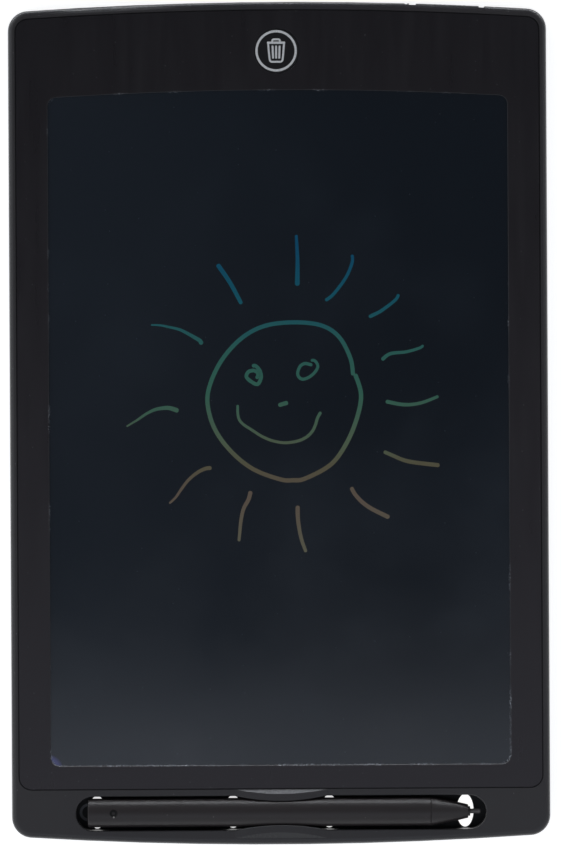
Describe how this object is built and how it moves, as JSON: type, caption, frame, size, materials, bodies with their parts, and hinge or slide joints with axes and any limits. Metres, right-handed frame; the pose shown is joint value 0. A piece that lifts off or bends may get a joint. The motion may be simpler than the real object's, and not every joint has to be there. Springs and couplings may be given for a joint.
{
  "type": "lcd writing tablet",
  "caption": "Slim black writing tablet with a dark screen, a round erase button, a lock slider in the upper edge and a stylus in a slot below the screen.",
  "frame": {"origin": "under the middle of the back face, where the tablet rests", "axes": "+X across the tablet to the right, +Y up the screen to the button end, +Z out of the screen"},
  "size_m": [0.145, 0.227, 0.0092],
  "materials": {
    "frame_plastic": "moulded ABS, fine matt grain",
    "cover_plastic": "moulded ABS, fine matt grain",
    "bezel_film": "black-printed polyester sheet, satin",
    "screen_film": "dark blue-grey liquid crystal film, satin",
    "black_film": "black absorbing film",
    "tape": "double-sided tape",
    "tail_film": "polyimide flexible circuit",
    "board": "glass-epoxy board with solder mask",
    "chip": "moulded epoxy",
    "ferrite": "sintered ferrite",
    "capacitor_ceramic": "fired ceramic",
    "steel": "nickel-plated steel",
    "cell_steel": "satin nickel-plated can",
    "switch_plastic": "heat-resistant nylon",
    "button_plastic": "satin black cap",
    "slider_plastic": "moulded ABS, satin",
    "stylus_plastic": "moulded ABS, fine matt grain",
    "nib_plastic": "turned acetal"
  },
  "bodies": {
    "tablet": {"front_frame": "frame_plastic", "rear_cover": "cover_plastic", "bezel_sheet": "bezel_film", "bezel_adhesive": "tape", "lcd_film": "screen_film", "film_backing": "black_film", "film_tape": "tape", "film_tail": "tail_film", "circuit_board": "board", "driver_chip": "chip", "boost_inductor": "ferrite", "board_capacitors": "capacitor_ceramic", "board_screws": "steel", "switch_housing": "switch_plastic", "switch_dome": "steel", "slide_switch_housing": "switch_plastic", "coin_cell": "cell_steel", "contact_positive": "steel", "contact_negative": "steel"},
    "button": {"erase_button": "button_plastic", "switch_plunger": "switch_plastic"},
    "slider": {"lock_slider": "slider_plastic", "slide_switch_lever": "switch_plastic"},
    "stylus": {"stylus_barrel": "stylus_plastic", "stylus_tail_plug": "stylus_plastic", "stylus_nose": "stylus_plastic", "stylus_nib": "nib_plastic"},
    "door": {"battery_door": "cover_plastic", "door_screw": "steel"}
  },
  "joints": [
    {"name": "button_press", "type": "slide", "parent": "tablet", "child": "button", "axis": [0, 0, -1], "range_m": [0, 0.0003], "stiffness_N_per_m": 600, "springref_m": -0.0005},
    {"name": "slider_lock", "type": "slide", "parent": "tablet", "child": "slider", "axis": [-0.999, 0.0437, 0], "range_m": [0, 0.0017]},
    {"name": "stylus_lift", "type": "slide", "parent": "tablet", "child": "stylus", "axis": [0, 0, 1], "range_m": [0, 0.025]},
    {"name": "door_off", "type": "slide", "parent": "tablet", "child": "door", "axis": [0, 0, -1], "range_m": [0, 0.012]}
  ]
}
